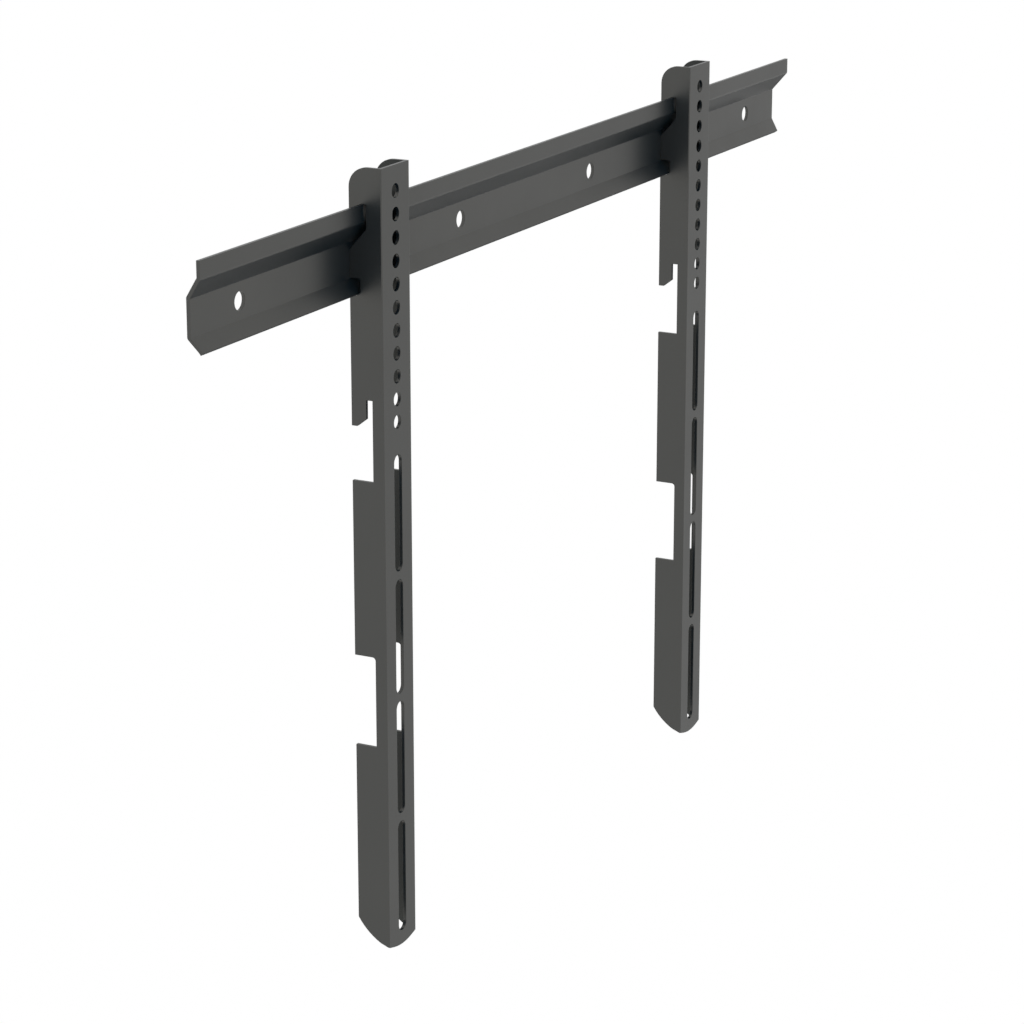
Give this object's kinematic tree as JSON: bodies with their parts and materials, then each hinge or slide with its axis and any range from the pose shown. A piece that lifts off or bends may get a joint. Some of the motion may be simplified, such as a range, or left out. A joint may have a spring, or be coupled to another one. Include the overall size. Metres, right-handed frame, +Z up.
{
  "type": "fixed tv wall bracket",
  "caption": "Low-profile fixed wall bracket for a flat screen: a folded steel rail for the wall, and upright channel arms with holes and slots that hook over its top flange.",
  "frame": {"origin": "on the rail's wall face, at the middle of its row of screw holes", "axes": "+X along the rail, to the right seen from the room; +Y into the wall; +Z up"},
  "size_m": [0.7506, 0.022, 0.452],
  "materials": {
    "powder_coat": "satin"
  },
  "bodies": {
    "root": {"wall_rail": "powder_coat", "left_arm": "powder_coat", "right_arm": "powder_coat"}
  },
  "joints": []
}
